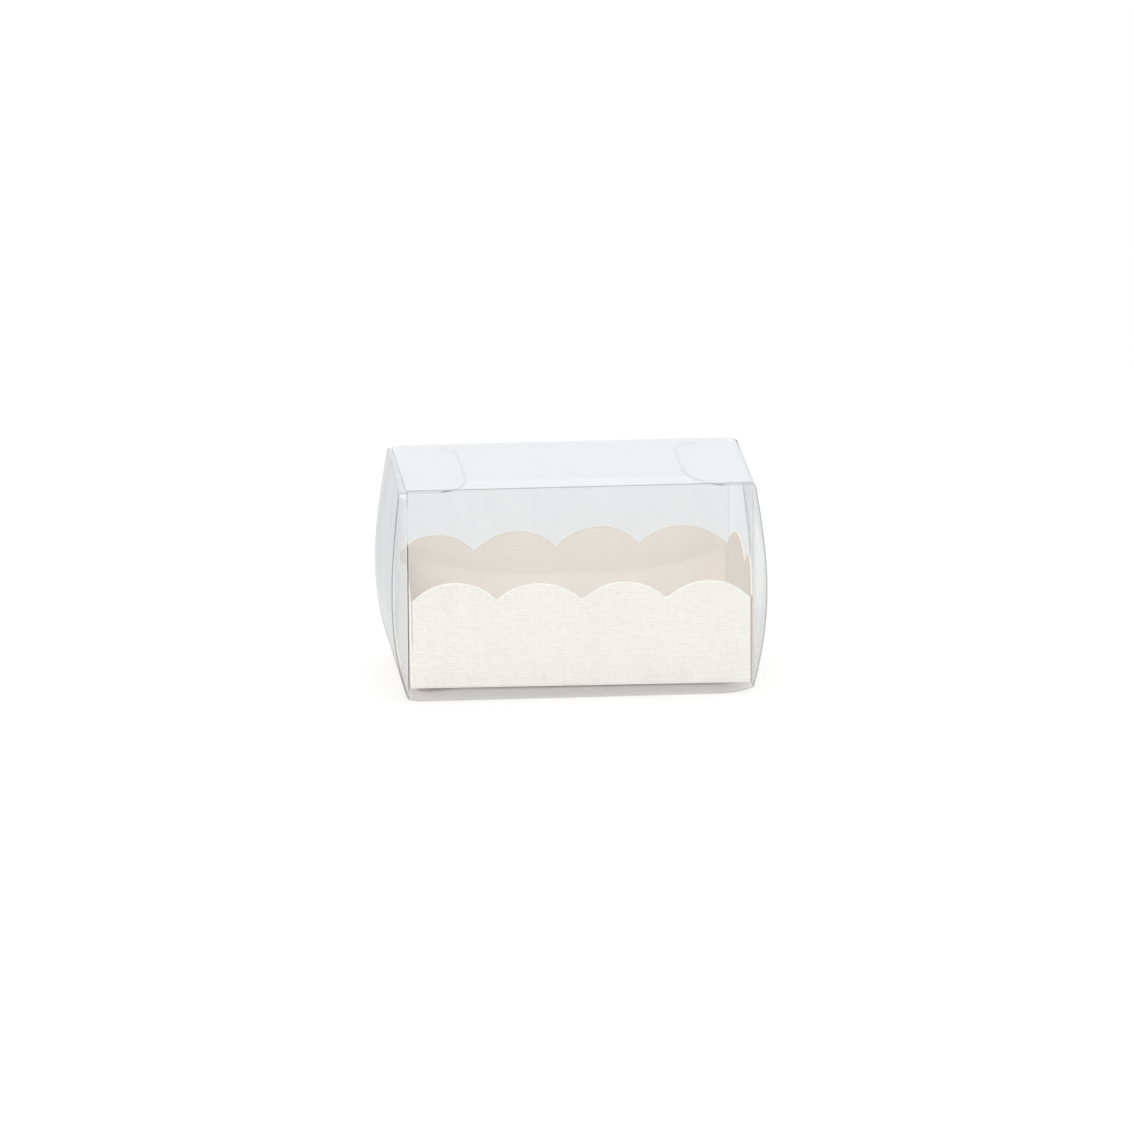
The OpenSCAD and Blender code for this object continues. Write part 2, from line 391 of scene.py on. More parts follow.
@dataclass(frozen=True)
class CardFinish(Finish):
    """Ivory card with threads pressed into it.

    The mask "rim" marks the border of a side, where the rim colour paints a highlight on the
    outer faces and a tan shade on the inner side; "fold" marks its painted shade.
    """

    colour: RGB
    shade: RGB
    threads: float = 0.0
    grain: float = 0.4
    cloud: float = 0.15
    fold_shade: float = 0.0
    thread_bump: float = 0.2
    # Painted highlight along the borders, unless a finish gives a darker rim colour.
    rim: RGB = (0.99, 0.985, 0.965)
    rim_share: float = 0.0
    rim_power: float = 1.5
    pitch: float = 0.78
    breaks: float = 0.82
    grain_scale: float = 2.6
    thread_relief: float = 0.5
    bump_height: float = 0.00008
    roughness: float = 0.62
    sheen: float = 0.3

    def inputs(self, graph: Graph) -> dict:
        """Work out the inputs of the shader.

        Args:
            graph: The material's graph.

        Returns:
            The inputs, as Graph.feed takes them.
        """
        place = graph.add("ShaderNodeUVMap", uv_map="card_mm").outputs[0]
        linen = place_group(graph, "linen", {"Vector": place, "Pitch": self.pitch,
                                             "Breaks": self.breaks})
        fibre = place_group(graph, "fibre", {"Vector": place, "Grain Scale": self.grain_scale})
        threads, grain, cloud, fold = (graph.math("MULTIPLY", source, gain) for source, gain in (
            (linen["Thread"], self.threads), (fibre["Grain"], self.grain),
            (fibre["Cloud"], self.cloud), (graph.mask("fold"), self.fold_shade)))
        share = graph.math("ADD", graph.math("ADD", threads, grain),
                           graph.math("ADD", cloud, fold), clamp=True)
        colour = graph.blend(share, (*self.colour, 1), (*self.shade, 1))
        rimmed = graph.math("MULTIPLY", graph.math("POWER", graph.mask("rim"), self.rim_power),
                            self.rim_share)
        height = graph.math("MULTIPLY_ADD", linen["Height"], self.thread_relief,
                            fibre["Grain"])
        return {
            "Base Color": graph.blend(rimmed, colour, (*self.rim, 1)),
            "Normal": graph.bump(height, self.thread_bump, self.bump_height),
            "Roughness": self.roughness,
            "Specular IOR Level": self.sheen}


@dataclass(frozen=True)
class GlueFinish(Finish):
    """Dried clear glue with small bubbles."""

    name: str = "dried_glue"
    colour: RGB = (0.74, 0.75, 0.72)
    bubble_scale: float = 1400.0
    bubble_size: float = 0.22
    bubble_haze: float = 0.04
    haze: float = 0.03
    uneven_haze: float = 0.05
    wave_scale: float = 300.0
    wave_strength: float = 0.4
    wave_height: float = 0.0003
    roughness: float = 0.3

    def inputs(self, graph: Graph) -> dict:
        """Work out the inputs of the shader.

        Args:
            graph: The material's graph.

        Returns:
            The inputs, as Graph.feed takes them.
        """
        place = graph.add("ShaderNodeTexCoord").outputs["Object"]
        uneven = place_group(graph, "uneven", {"Vector": place, "Wave Scale": self.wave_scale})
        bubbles = graph.add("ShaderNodeTexVoronoi", {"Vector": place, "Scale": self.bubble_scale})
        rings = graph.math("LESS_THAN", bubbles.outputs["Distance"], self.bubble_size)
        hazed = graph.math("MULTIPLY_ADD", uneven["Haze"], self.uneven_haze, self.haze)
        return {
            "Base Color": (*self.colour, 1),
            "Alpha": graph.math("MULTIPLY_ADD", rings, self.bubble_haze, hazed),
            "Normal": graph.bump(uneven["Height"], self.wave_strength, self.wave_height),
            "Roughness": self.roughness}


@dataclass(frozen=True)
class FloorFinish(Finish):
    """Pale floor that reads as white and keeps the shadow of the box."""

    name: str = "pale_floor"
    # The lit colour is bluish and the added emission warm: they sum to white where lit and paint a
    # warm light into the box's shadow.
    shown: RGB = (0.17, 0.185, 0.205)
    added: RGB = (0.77, 0.75, 0.72)
    bounced: float = 0.8
    cloud: float = 0.01
    cloud_scale: float = 3.0
    roughness: float = 0.9

    def inputs(self, graph: Graph) -> dict:
        """Work out the inputs of the shader.

        Args:
            graph: The material's graph.

        Returns:
            The inputs, as Graph.feed takes them.
        """
        seen = seen_rays(graph)
        cloud = graph.add("ShaderNodeTexNoise", {"Scale": self.cloud_scale}).outputs[0]
        pale = graph.math("MULTIPLY_ADD", cloud, self.cloud, self.bounced)
        return {
            "Base Color": graph.blend(seen, pale, (*self.shown, 1)),
            "Emission Color": (*self.added, 1),
            "Emission Strength": seen,
            "Roughness": self.roughness,
            "Specular IOR Level": 0.0}


def seen_rays(graph: Graph) -> Socket:
    """Add what tells the rays that show the background from those that light the box.

    Args:
        graph: The graph of a material or the world.

    Returns:
        A socket that is 1 for camera, glossy and transmission rays.
    """
    path = graph.add("ShaderNodeLightPath").outputs
    first = graph.math("MAXIMUM", path["Is Camera Ray"], path["Is Glossy Ray"])
    return graph.math("MAXIMUM", first, path["Is Transmission Ray"])


FILM = FilmFinish("clear_film").material()
FLAP_FILM = FilmFinish("clear_flap_film", haze=0.08, slant_gain=0.35, far_power=3.0,
                       far_mirror=(0.95, 0.95, 0.955)).material()
FLAP_OUTSIDE = FilmFinish("clear_flap_film_outside", slant_gain=1.3, far_power=5.0,
                          far_mirror=(0.92, 0.92, 0.92)).material()
END_FILM = FilmFinish("clear_end_film", slant_gain=1.3, far_power=3.0,
                      far_mirror=(0.22, 0.22, 0.225), dulled=0.5).material()
# Painted shade: rim_gain with the dark crease colour darkens the right end panel's back edge.
END_INSIDE = FilmFinish("clear_end_film_inside", crease_colour=(0.16, 0.15, 0.15), haze=0.08,
                        slant_gain=0.6, far_power=3.0, far_mirror=(0.62, 0.62, 0.625),
                        rim_gain=2.6).material()
TONGUE_FILM = FilmFinish("clear_tongue_film", crease_colour=(0.20, 0.20, 0.21), haze=0.15,
                         mirror=(0.92, 0.96, 0.985), crease_gain=0.12, rim_gain=1.5).material()
# Painted shade: the bottom film is tinted brown and darkened under the tray's front edge, standing
# in for the tray's shade seen in it.
BOTTOM_FILM = FilmFinish("clear_bottom_film", colour=(0.78, 0.61, 0.46),
                         painted_shade_colour=(0.27, 0.15, 0.08), haze=0.09,
                         painted_shade_gain=0.52, slant_gain=0.5).material()
FILM_EDGE = FilmFinish("cut_film_edge", colour=(0.24, 0.235, 0.24), haze=0.62,
                       slant_gain=0.1).material()
# rim_share paints a highlight along the borders of the card's faces.
CARD_FACE = CardFinish("linen_card_face", (0.943, 0.931, 0.875), (0.76, 0.735, 0.66),
                       threads=0.9, grain=0.15, thread_bump=1.3, rim_share=0.9).material()
# Painted warm light: the base's underside is the same card made warmer and brighter, so its
# reflection in the bottom film reads brown; rim_share paints a highlight on its front bend.
PAINTED_WARM_BASE = CardFinish("linen_card_base_painted_warm", (1.0, 0.90, 0.80), (0.95, 0.82, 0.69),
                       threads=1.05, grain=0.15, thread_bump=1.2, rim_share=0.9).material()
# rim paints a tan shade along the inner side's borders; fold_shade paints shade above the back
# wall's curved line.
CARD_INSIDE = CardFinish("linen_card_inside", (0.876, 0.831, 0.792), (0.72, 0.67, 0.61),
                         threads=0.10, grain=0.85, thread_bump=0.30, rim=(0.60, 0.48, 0.36),
                         rim_share=0.75, fold_shade=0.45).material()
CARD_EDGE = CardFinish("card_cut_edge", (0.97, 0.96, 0.94), (0.88, 0.84, 0.77),
                       grain=0.3).material()
# Painted shade: darker copies of the card's cut edge, tan for the level edges other than the front
# wall's top and brown for the right end wall's upright edges.
SHADED_CARD_EDGE = CardFinish("shaded_card_cut_edge", (0.78, 0.70, 0.60), (0.66, 0.57, 0.46)).material()
DARK_SHADED_CARD_EDGE = CardFinish("dark_shaded_card_cut_edge", (0.50, 0.385, 0.29),
                         (0.38, 0.28, 0.20)).material()
GLUE = GlueFinish().material()


# ---- Mesh work ----


class Sheet:
    """A thin sheet: its middle surface in a bmesh, which then gets its thickness. In mm."""

    def __init__(self, name: str) -> None:
        """Start an empty sheet.

        Args:
            name: The name of the piece.
        """
        self.name = name
        self.bm = bmesh.new()
        self.marks = {title: self.bm.verts.layers.float.new(title)
                      for title in ("crease", "fold", "rim")}
        self.spread = self.bm.loops.layers.uv.new("card_mm")

    def draw_folded(self, start: tuple, turns: Iterable[tuple], length: float,
                    strips: int) -> None:
        """Draw a line across the box as runs and bends, and draw it out along X.

        Args:
            start: Its first point.
            turns: ("run", dy, dz, steps) or ("bend", cy, cz, degrees, steps).
            length: How far it is drawn out.
            strips: In how many strips.
        """
        tip = self.bm.verts.new(Vector(start) * MM)
        for kind, a, b, *rest in turns:
            if kind == "bend":
                spun = bmesh.ops.spin(
                    self.bm, geom=[tip], cent=(start[0] * MM, a * MM, b * MM), axis=(1, 0, 0),
                    angle=math.radians(rest[0]), steps=rest[1])
                tip = next(g for g in spun["geom_last"] if isinstance(g, bmesh.types.BMVert))
                continue
            for _ in range(rest[0]):
                drawn = bmesh.ops.extrude_vert_indiv(self.bm, verts=[tip])
                tip = drawn["verts"][0]
                tip.co += Vector((0, a * MM, b * MM)) / rest[0]
        edges = list(self.bm.edges)
        for _ in range(strips):
            drawn = bmesh.ops.extrude_edge_only(self.bm, edges=edges)["geom"]
            points = [g for g in drawn if isinstance(g, bmesh.types.BMVert)]
            bmesh.ops.translate(self.bm, verts=points, vec=(length * MM / strips, 0, 0))
            edges = [e for e in drawn if isinstance(e, bmesh.types.BMEdge)
                     and all(v in points for v in e.verts)]

    def draw_grid(self, columns: int, rows: int, place: Callable[[float, float], tuple],
                  rim: Span | None = None) -> None:
        """Make a grid and move each point to its place.

        Args:
            columns: Cells along the first share.
            rows: Cells along the second share.
            place: Gives X, Y and Z for the two shares of a point.
            rim: The two shares that the outermost cells take, where the edge is marked.
        """
        bmesh.ops.create_grid(self.bm, x_segments=columns, y_segments=rows, size=0.5)
        for point in self.bm.verts:
            shares = [point.co.x + 0.5, point.co.y + 0.5]
            if rim:
                on_edge = any(min(s, 1 - s) < 1e-4 for s in shares)
                point[self.marks["rim"]] = 1.0 if on_edge else 0.0
                for i, cells in enumerate((columns, rows)):
                    if abs(shares[i] * cells - 1) < 1e-3:
                        shares[i] = rim[i]
                    elif abs((1 - shares[i]) * cells - 1) < 1e-3:
                        shares[i] = 1 - rim[i]
            point.co = Vector(place(*shares)) * MM

    def shape(self, move: Callable[[Vector], Vector]) -> None:
        """Move every point to the place that move gives for its place."""
        for point in self.bm.verts:
            point.co = move(point.co / MM) * MM

    def mark(self, title: str, share: Callable[[Vector], float]) -> None:
        """Write a mask on the points.

        Args:
            title: The mask's name.
            share: Gives the mask at a place.
        """
        layer = self.marks[title]
        for point in self.bm.verts:
            point[layer] = share(point.co / MM)

    def thicken(self, outward: Vector, thickness: float) -> tuple[set, set, bool]:
        """Give the sheet its thickness, half of it to each side.

        Args:
            outward: A direction that its outer side faces.
            thickness: The thickness, in metres.

        Returns:
            The faces and the points of its first side, and whether that is the outer side.
        """
        bm = self.bm
        bmesh.ops.recalc_face_normals(bm, faces=bm.faces)
        facing = sum((f.normal * f.calc_area() for f in bm.faces), Vector())
        if facing.dot(outward) < 0:
            bmesh.ops.reverse_faces(bm, faces=bm.faces)
        bm.normal_update()
        outset = {v: v.normal * (thickness / 2 * v.calc_shell_factor()) for v in bm.verts}
        for point, step in outset.items():
            point.co += step
        first_side = set(bm.faces)
        first_points = set(bm.verts)
        bmesh.ops.solidify(bm, geom=list(bm.faces), thickness=thickness)
        if bm.calc_volume(signed=True) < 0:
            bmesh.ops.reverse_faces(bm, faces=bm.faces)
        bm.normal_update()
        total = sum((f.normal * f.calc_area() for f in first_side), Vector())
        return first_side, first_points, total.dot(outward) > 0

    def spread_flat(self, face: bmesh.types.BMFace) -> None:
        """Write where a face lies on its flat sheet, for the card's threads.

        Args:
            face: The face.
        """
        level, across = abs(face.normal.z) > 0.8, abs(face.normal.x) > 0.7
        for loop in face.loops:
            x, y, z = loop.vert.co / MM
            loop[self.spread].uv = (x, y) if level else (y if across else x, z)

    def finish(self, outward: tuple, thickness: float,
               materials: list[bpy.types.Material], sides: tuple[int, ...]) -> bpy.types.Object:
        """Give the sheet its thickness and make the piece.

        Args:
            outward: A direction that its outer side faces.
            thickness: The thickness.
            materials: The piece's materials.
            sides: The material numbers of the outer side, the inner side, the cut edges and,
                where they differ, the upright cut edges.

        Returns:
            The piece.
        """
        bm = self.bm
        first_side, first_points, first_is_outer = self.thicken(Vector(outward), thickness * MM)
        for face in bm.faces:
            is_first = face in first_side
            is_edge = not is_first and any(v in first_points for v in face.verts)
            side = 2 if is_edge else (0 if is_first == first_is_outer else 1)
            if side == 2 and len(sides) > 3 and abs(face.normal.z) < 0.5:
                side = 3
            face.material_index = sides[side]
            face.smooth = True
            self.spread_flat(face)
        for edge in bm.edges:
            if len(edge.link_faces) == 2 and edge.calc_face_angle(0) > math.radians(40):
                edge.smooth = False
        mesh = bpy.data.meshes.new(self.name)
        bm.to_mesh(mesh)
        bm.free()
        for material in materials:
            mesh.materials.append(material)
        piece = add_object(self.name, mesh)
        log.info("%s: %d faces", self.name, len(mesh.polygons))
        return piece


@dataclass
class FilmTube:
    """The front, bottom, back and top of the film box, with the glue seam. Sizes in mm."""

    length: float = 80.0
    depth: float = 48.0
    height: float = 50.0
    film: float = 0.3
    crease: float = 0.45
    crease_width: float = 0.32
    strips: int = 64
    bow: float = 2.7
    bow_half_depth: float = 20.9
    bow_half_length: float = 38.35
    bow_fade: float = 14.0
    bow_tilt: float = 0.23
    tab: float = 9.0
    tab_middle: float = 23.5
    tab_inset: float = 2.0
    curls: tuple = ((1, 1.4, 7.5, 2.0), (-1, 0.45, 3.5, 1.8))  # end, rise, length, power
    curl_height: float = 14.0
    corner_cut: float = 1.3
    corner_cut_length: float = 4.4
    corner_cut_power: float = 1.7
    corner_reach: Span = (30.0, 40.0)
    low_line: float = 4.0
    low_line_height: float = 0.35
    back_end_line: float = 0.5
    # Where the painted shade along the front film's left upright crease lies.
    crease_shade_foot: Span = (2.0, 3.5)
    crease_shade_top: Span = (37.2, 36.4)
    head_crease_shade: float = 0.35
    head_crease_shade_start: Span = (45.5, 48.0)
    wide_shade: float = 0.10
    wide_shade_side: Span = (22.0, 14.0)
    close_shade: float = 0.9
    close_shade_side: Span = (15.2, 16.6)
    close_shade_edge: float = 1.2
    close_shade_right: Span = (40.0, 26.0)
    shade_end: Span = (39.0, 35.0)

    @property
    def flat(self) -> float:
        """Return how far the flat of a panel reaches from the middle of the depth."""
        return self.depth / 2 - self.film / 2 - self.crease

    def curl(self, x: float, z: float) -> float:
        """Work out how far the end creases pull the film up.

        Args:
            x: X of the place.
            z: Z of the place.

        Returns:
            The rise there.
        """
        low = max(0.0, 1 - z / self.curl_height) ** 2
        return low * sum(
            rise * (max(0.0, end * x - (self.length / 2 - reach)) / reach) ** power
            for end, rise, reach, power in self.curls)

    def curled(self, place: Vector) -> Vector:
        """Return a place after the pull of the end creases."""
        return place + Vector((0, 0, self.curl(place.x, place.z)))

    def drawn_to_end(self, place: Vector, half: float, step: float) -> Vector:
        """Return a place after the last lines before each end are drawn closer to that end.

        Args:
            place: The place.
            half: Half the panel's length.
            step: The distance between two lines, before.

        Returns:
            The new place.
        """
        drawn = (0.55 * self.crease_width, 0.85 * self.crease_width, 1.2 * step, 2.4 * step,
                 3.7 * step)
        for number, from_end in enumerate(drawn, 1):
            if abs(abs(place.x) - (half - number * step)) < 0.01:
                place.x = math.copysign(half - from_end, place.x)
        return place

    def trimmed_corner(self, place: Vector) -> Vector:
        """Round off the top's back right corner.

        Args:
            place: A place of the film.

        Returns:
            The place after that.
        """
        past = max(0.0, place.y - (self.depth / 2 - self.corner_cut_length))
        cut = self.corner_cut * (past / self.corner_cut_length) ** self.corner_cut_power
        return place - Vector((cut * ramp(place.x, *self.corner_reach), 0, 0))

    def crease_line(self, outward: tuple, place: Vector) -> float:
        """Return how strong the line of a crease is at a place.

        Args:
            outward: The direction that the panel's outer side faces.
            place: The place.

        Returns:
            1 on the rounded creases, 0 on the flats, and more on the lowest line.
        """
        margin = 0.02
        low = self.film / 2 + self.crease - margin
        end = abs(place.x) > self.length / 2 - 0.05
        if outward == (0, 1, 0):
            return self.back_end_line if end and place.x < 0 else 0.0
        if place.z < self.low_line_height:
            return self.low_line
        rounded = abs(place.y) > self.flat + margin and not low <= place.z <= self.height - low
        return 1.0 if rounded or end else 0.0

    def crease_shade(self, place: Vector) -> float:
        """Work out the painted dark brown shade of the card along the left upright crease.

        Args:
            place: A place of the film.

        Returns:
            The share of painted shade there.
        """
        if place.x > 0.2 - self.length / 2:
            return 0.0
        return (ramp(place.z, *self.crease_shade_top) * ramp(place.z, *self.crease_shade_foot)
                + self.head_crease_shade * ramp(place.z, *self.head_crease_shade_start))

    def card_shade(self, place: Vector) -> float:
        """Work out how much of the tray's brown shade the bottom film catches.

        Args:
            place: A place of the film.

        Returns:
            The share of brown there.
        """
        y = abs(place.y)
        wide = self.wide_shade * ramp(y, *self.wide_shade_side)
        reach = mix(*self.close_shade_side, place.x / self.length + 0.5)
        close = (self.close_shade * ramp(y, reach, reach - self.close_shade_edge)
                 * ramp(place.x, *self.close_shade_right))
        return (wide + close) * ramp(abs(place.x), *self.shade_end)

    def panel(self, name: str, node: str, outward: tuple, start: Span, turns: Iterable[tuple],
              inset: float = 0.0, edge: bpy.types.Material = FILM,
              trim: Callable[[Vector], Vector] | None = None) -> None:
        """Build one panel of the tube.

        Args:
            name: The name of the piece.
            node: The CAD node that it stands for.
            outward: The direction that its outer side faces.
            start: Y and Z of the start of its line across.
            turns: Its runs and bends, as Sheet.draw_folded takes them.
            inset: How much shorter it is at each end.
            edge: The material of its ends: a cut edge, or film that goes on past a crease.
            trim: A change to its outline.
        """
        sheet = Sheet(name)
        half = self.length / 2 - inset
        sheet.draw_folded((-half, *start), turns, 2 * half, self.strips)
        sheet.shape(lambda p: self.drawn_to_end(p, half, 2 * half / self.strips))
        sheet.mark("crease", lambda p: self.crease_line(outward, p))
        # Painted shade: a dark brown line along the front film's left upright crease.
        if outward == (0, -1, 0):
            sheet.mark("fold", self.crease_shade)
        sheet.shape(self.curled)
        if trim:
            sheet.shape(trim)
        piece = sheet.finish(outward, self.film, [FILM, edge], (0, 0, 1))
        for face in piece.data.polygons:  # no dark edge shows at the top's back and far right
            x, y, z = face.center / MM
            on_top = z > self.height - 1 and abs(face.normal.x) < 0.5
            if y > 0 and (on_top or x > self.length / 2 - 0.3):
                face.material_index = 0
        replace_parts(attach(piece, "tube"), node)

    def bowed_bottom(self) -> None:
        """Build the bottom panel, which bows up under the tray."""
        sheet = Sheet("bottom_film")
        half, columns = self.length / 2, 80

        def place(u: float, v: float) -> tuple:
            """Place a point of the sheet.

            Args:
                u: Its first share.
                v: Its second share.

            Returns:
                X, Y and Z.
            """
            x, y = mix(-half, half, u), mix(-self.flat, self.flat, v)
            past = (abs(x) - (self.bow_half_length - self.bow_fade)) / self.bow_fade
            across = min(abs(y) / self.bow_half_depth, 1.0)
            rise = self.bow * hump(min(max(past, 0.0), 1.0)) * hump(across)
            return x, y, self.film / 2 + rise * (1 - self.bow_tilt * u)

        sheet.draw_grid(columns, 44, place)
        sheet.shape(lambda p: self.drawn_to_end(p, half, 2 * half / columns))
        sheet.mark("crease", lambda p: 1.0 if abs(p.x) > half - 0.05 else 0.0)
        # Painted brown shade of the tray on the bottom film.
        sheet.mark("fold", self.card_shade)
        sheet.shape(self.curled)
        piece = sheet.finish((0, 0, -1), self.film, [BOTTOM_FILM], (0, 0, 0))
        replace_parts(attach(piece, "tube"), "bottom_panel")

    def build(self) -> None:
        """Build the panels and dress the glue."""
        flat, fold = self.flat, self.crease
        low, high = self.film / 2, self.height - self.film / 2
        tab_flat = self.tab_middle - fold
        upright = ("run", 0, high - low - 2 * fold, 30)
        self.panel("front_film", "front_panel", (0, -1, 0), (-flat, low), [
            ("bend", -flat, low + fold, -90, 5), upright, ("bend", -flat, high - fold, -90, 5)])
        self.panel("back_film", "back_panel", (0, 1, 0), (flat, low), [
            ("bend", flat, low + fold, 90, 5), upright], trim=self.trimmed_corner)
        self.panel("top_film", "top_panel", (0, 0, 1), (-flat, high), [
            ("run", flat + tab_flat, 0, 30)], edge=FILM_EDGE, trim=self.trimmed_corner)
        self.panel("glue_tab_film", "seam_tab", (0, 1, 0), (tab_flat, high), [
            ("bend", tab_flat, high - fold, -90, 5),
            ("run", 0, low + fold - self.tab, 8)], self.tab_inset, FILM_EDGE)
        self.bowed_bottom()
        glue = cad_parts["seam_glue"]
        glue.data.materials.clear()
        glue.data.materials.append(GLUE)


@dataclass
class Closure:
    """An end of the film box: its bulging panel, its tongue and two dust flaps. Sizes in mm."""

    end: End
    tube: FilmTube
    standoff: float
    front_bulge: float
    back_bulge: float
    front_power: float
    back_power: float
    back_corner: Span
    front_corner: Span
    flap_out: float
    turned: float = 0.0
    straight: float = 0.93
    half_width: float = 23.35
    dark_edge: Span = (-2.6, -1.4)
    dark_edge_height: Span = (20.0, 28.0)
    panel_bend: float = 4.0
    tongue_half: float = 22.85
    tongue_z: float = 49.25
    tongue_tip: float = 25.5
    tongue_bow: float = 0.35
    tongue_rim: Span = (0.55 / 14, 0.02)
    tongue_bend: float = 1.5
    tongue_crease: Span = (39.4, 40.0)
    fold: float = 0.55
    flap: float = 20.0
    flap_foot: float = 3.0
    flap_head: float = 47.8
    flap_lower: float = 32.0
    flap_upper: float = 8.0
    flap_corner: float = 3.0
    flap_power: float = 0.85
    flap_bend: float = 2.0

    @property
    def word(self) -> str:
        """Return the end's word in piece and body names."""
        return self.end.name.lower()

    def spot(self, x: float, y: float, z: float) -> Vector:
        """Return a place in metres, for an X without its sign."""
        return Vector((self.end.value * x, y, z)) * MM

    def hinge(self) -> Span:
        """Return X, without its sign, and Z of the film's middle at the bottom crease."""
        x = self.tube.length / 2 - self.tube.film / 2
        return x, self.tube.film / 2 + self.tube.curl(self.end.value * x, 0.0)

    def fold_out(self, back: float) -> float:
        """Return how far the top fold stands outside the tube, at a share from front to back."""
        return self.standoff + self.turned * (0.5 - back)

    def panel_place(self, u: float, v: float) -> tuple:
        """Return the place of a point of the end panel, from the bottom crease to the tongue.

        Args:
            u: Share from front to back.
            v: Share from the bottom up.

        Returns:
            X, Y and Z.
        """
        hinge_x, hinge_z = self.hinge()
        y = mix(-self.half_width, self.half_width, u)
        top_x, top_z = hinge_x + self.fold_out(u), self.tongue_z - self.fold
        if v <= self.straight:
            t = v / self.straight
            power = mix(self.front_power, self.back_power, u)
            bulge = mix(self.front_bulge, self.back_bulge, u)
            x = mix(hinge_x, top_x, t) + bulge * math.sin(math.pi * t ** power)
            z = mix(hinge_z, top_z, t)
        else:
            angle = (v - self.straight) / (1 - self.straight) * math.pi / 2
            x = top_x - self.fold + self.fold * math.cos(angle)
            z = top_z + self.fold * math.sin(angle)
        return self.end.value * x, y, z

    def painted_back_edge_shade(self, place: Vector) -> float:
        """Return the painted shade along the end panel's back edge at a place."""
        return (ramp(place.y - self.half_width, *self.dark_edge)
                * ramp(place.z, *self.dark_edge_height))

    def end_panel(self) -> None:
        """Build the end panel, which bends from the tube at its bottom crease."""
        sheet = Sheet(f"{self.word}_end_film")
        sheet.draw_grid(24, 86, self.panel_place)
        low, high = 0.9, self.tongue_z - self.fold + 0.05
        # Painted shade along the right end panel's back edge.
        if self.end is End.RIGHT:
            sheet.mark("rim", self.painted_back_edge_shade)
        sheet.mark("crease", lambda p: 0.0 if low <= p.z <= high else 1.0)
        outside = END_FILM if self.end is End.LEFT else END_INSIDE
        piece = sheet.finish((self.end.value, 0, 0), self.tube.film,
                             [outside, END_INSIDE, FILM_EDGE], (0, 1, 2))
        x, z = self.hinge()
        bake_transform(piece)
        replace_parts(piece, f"{self.word}_end_panel")

    def tip(self, y: float) -> float:
        """Work out the tongue's rounded tip.

        Args:
            y: The place along it.

        Returns:
            X there, without its sign.
        """
        long, deep = self.front_corner if y < 0 else self.back_corner
        past = max(0.0, abs(y) - (self.tongue_half - deep)) / deep
        corner = long * (1 - math.sqrt(max(0.0, 1 - past ** 2)))
        return self.tongue_tip - self.tongue_bow * (1 - (y / self.tongue_half) ** 2) + corner

    def tongue(self) -> None:
        """Build the tongue, which bends from the end panel at their crease."""
        sheet = Sheet(f"{self.word}_tongue_film")
        inner = self.hinge()[0] - self.fold

        def place(u: float, v: float) -> tuple:
            """Place a point of the sheet.

            Args:
                u: Its first share.
                v: Its second share.

            Returns:
                X, Y and Z.
            """
            y = self.tongue_half * math.sin(math.pi / 2 * (2 * v - 1))
            root = inner + self.fold_out(y / (2 * self.half_width) + 0.5)
            return self.end.value * mix(root, self.tip(y), u), y, self.tongue_z

        def on_tip(p: Vector) -> float:
            """Return 1 along the tip, without its two corners."""
            along = abs(p.y) < self.tongue_half - 0.1
            return 1.0 if along and abs(p.x) < self.tip(p.y) + 0.05 else 0.0

        sheet.draw_grid(24, 40, place, rim=self.tongue_rim)
        sheet.mark("rim", on_tip)
        sheet.mark("crease", lambda p: ramp(abs(p.x), *self.tongue_crease))
        piece = sheet.finish((0, 0, 1), self.tube.film, [TONGUE_FILM], (0, 0, 0))
        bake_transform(piece)
        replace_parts(piece, f"{self.word}_tongue")

    def dust_flap(self, flank: Flank) -> None:
        """Build a dust flap.

        Args:
            flank: The long side that it hangs on.
        """
        name = f"{self.word}_{flank.name.lower()}"
        sheet = Sheet(f"{name}_flap_film")
        hinge_x = self.hinge()[0]
        hinge_y = self.tube.depth / 2 - self.tube.film / 2

        def place(u: float, v: float) -> tuple:
            """Place a point of the sheet.

            Args:
                u: Its first share.
                v: Its second share.

            Returns:
                X, Y and Z.
            """
            reach = self.flap * math.sin(math.pi / 2 * u)
            past = max(0.0, reach - (self.flap - self.flap_corner))
            corner = self.flap_corner - math.sqrt(max(0.0, self.flap_corner ** 2 - past ** 2))
            foot = self.flap_foot + reach * math.tan(math.radians(self.flap_lower)) + corner
            head = self.flap_head - reach * math.tan(math.radians(self.flap_upper)) - corner
            out = self.flap_out * math.sin(math.pi / 2 * reach / self.flap) ** self.flap_power
            return (self.end.value * (hinge_x + out), flank.value * (hinge_y - reach),
                    mix(foot, head, v))

        sheet.draw_grid(28, 16, place)
        if self.end is End.RIGHT and flank is Flank.BACK:
            sheet.shape(self.tube.trimmed_corner)
        outside = FLAP_OUTSIDE if self.end is End.LEFT else FLAP_FILM
        piece = sheet.finish((self.end.value, 0, 0), self.tube.film,
                             [outside, FLAP_FILM], (0, 1, 1))
        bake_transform(piece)
        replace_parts(piece, f"{name}_dust_flap")

    def build(self) -> None:
        """Build the four pieces of this end."""
        self.end_panel()
        self.tongue()
        for flank in Flank:
            self.dust_flap(flank)


@dataclass(frozen=True)
class EndWall:
    """How an end wall of the tray bows out and how its scallops rise. Sizes in mm."""

    bow: float
    bow_power: float
    crown: float
    back_lift: float


